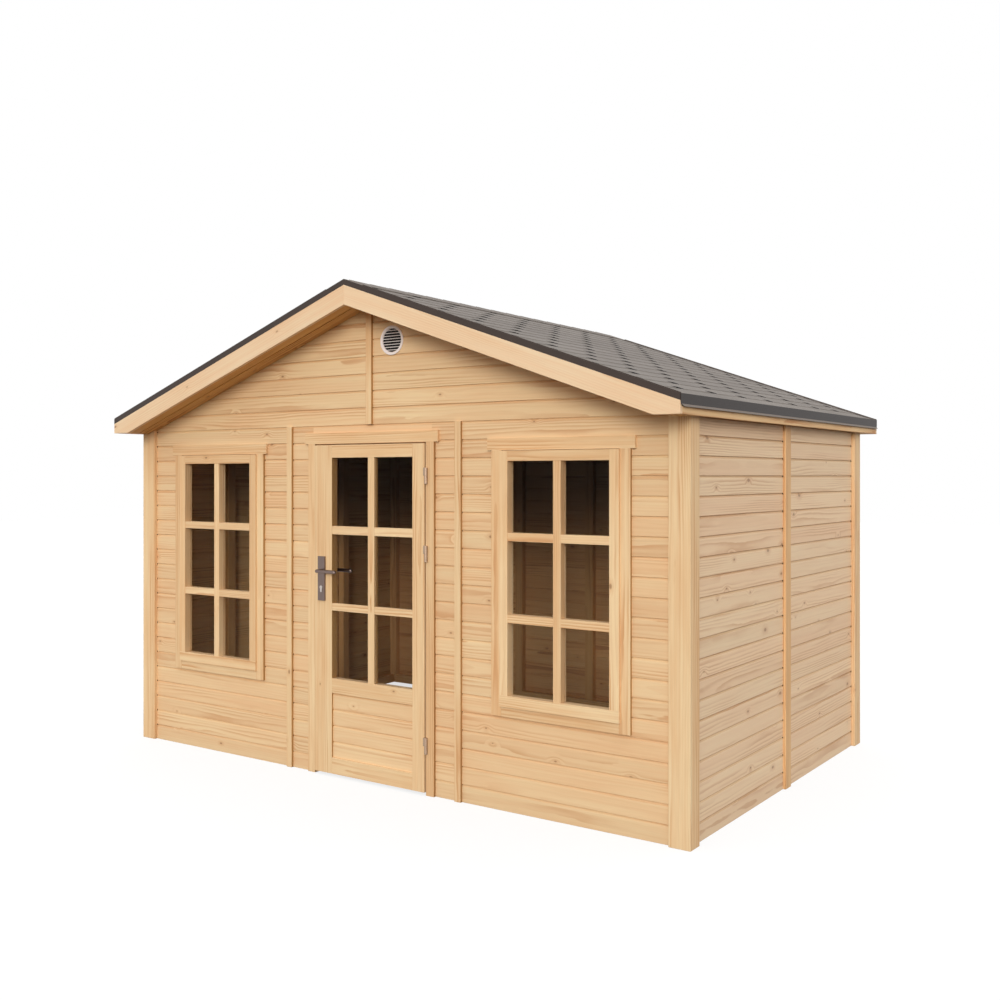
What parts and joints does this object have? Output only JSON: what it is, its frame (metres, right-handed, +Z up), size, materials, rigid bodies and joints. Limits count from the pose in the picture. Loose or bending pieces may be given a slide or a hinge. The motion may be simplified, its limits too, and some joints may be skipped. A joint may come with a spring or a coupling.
{
  "type": "wooden garden house",
  "caption": "Timber garden house with a gable roof, board walls, multi-light side windows and a glazed door that opens outwards.",
  "frame": {"origin": "on the ground, under the middle of the roof's outline", "axes": "+Z up, front wall and door towards -Y, ridge along Y, +X to the right seen from the front"},
  "size_m": [3.494, 2.548, 2.4183],
  "materials": {
    "front_boards": "planed pine boards, untreated",
    "side_boards": "planed pine boards, untreated",
    "trim_wood": "planed pine trim, untreated",
    "frame_wood": "sawn pine",
    "roof_wood": "planed pine roof boards",
    "shingles": "mineral-faced bitumen",
    "dark_sheet": "coated steel sheet, satin",
    "glass": "clear pane",
    "fittings": "brushed, grey",
    "hinge_steel": "zinc-plated",
    "white_plastic": "moulded, matt"
  },
  "bodies": {
    "house": {"front_left_wall": "front_boards", "front_right_wall": "front_boards", "door_side_walls": "front_boards", "door_head_wall": "front_boards", "left_wall": "side_boards", "right_wall": "side_boards", "back_wall": "side_boards", "front_gable": "front_boards", "back_gable": "side_boards", "front_studs": "frame_wood", "back_studs": "frame_wood", "side_studs": "frame_wood", "cross_rails": "frame_wood", "side_rails": "frame_wood", "gable_posts": "frame_wood", "roof_beams": "frame_wood", "roof_deck_left": "roof_wood", "roof_deck_right": "roof_wood", "shingles_left": "shingles", "shingles_right": "shingles", "ridge_cap": "shingles", "left_barge_boards": "trim_wood", "right_barge_boards": "trim_wood", "eave_fascias": "trim_wood", "verge_trims": "dark_sheet", "eave_drips": "dark_sheet", "front_corner_boards": "trim_wood", "back_corner_boards": "trim_wood", "front_battens": "trim_wood", "back_battens": "trim_wood", "side_battens": "trim_wood", "window_casings": "trim_wood", "window_sashes": "trim_wood", "window_glass": "glass", "gable_vent": "white_plastic", "door_casing": "trim_wood", "door_jambs": "trim_wood", "hinge_posts": "hinge_steel"},
    "door": {"door_leaf": "trim_wood", "door_panel": "front_boards", "door_glass": "glass", "hinge_leaves": "hinge_steel", "handle_plates": "fittings", "lock_cylinder": "fittings"},
    "lever": {"door_lever": "fittings"}
  },
  "joints": [
    {"name": "door_swing", "type": "hinge", "parent": "house", "child": "door", "pos_m": [0.362, -1.1073, 0.8], "axis": [0, 0, 1], "range_deg": [0, 160]},
    {"name": "lever_turn", "type": "hinge", "parent": "door", "child": "lever", "pos_m": [-0.3, -1.086, 1.016], "axis": [0, 1, 0], "range_deg": [0, 40], "stiffness_Nm_per_rad": 1.2, "springref_deg": -28.65}
  ]
}
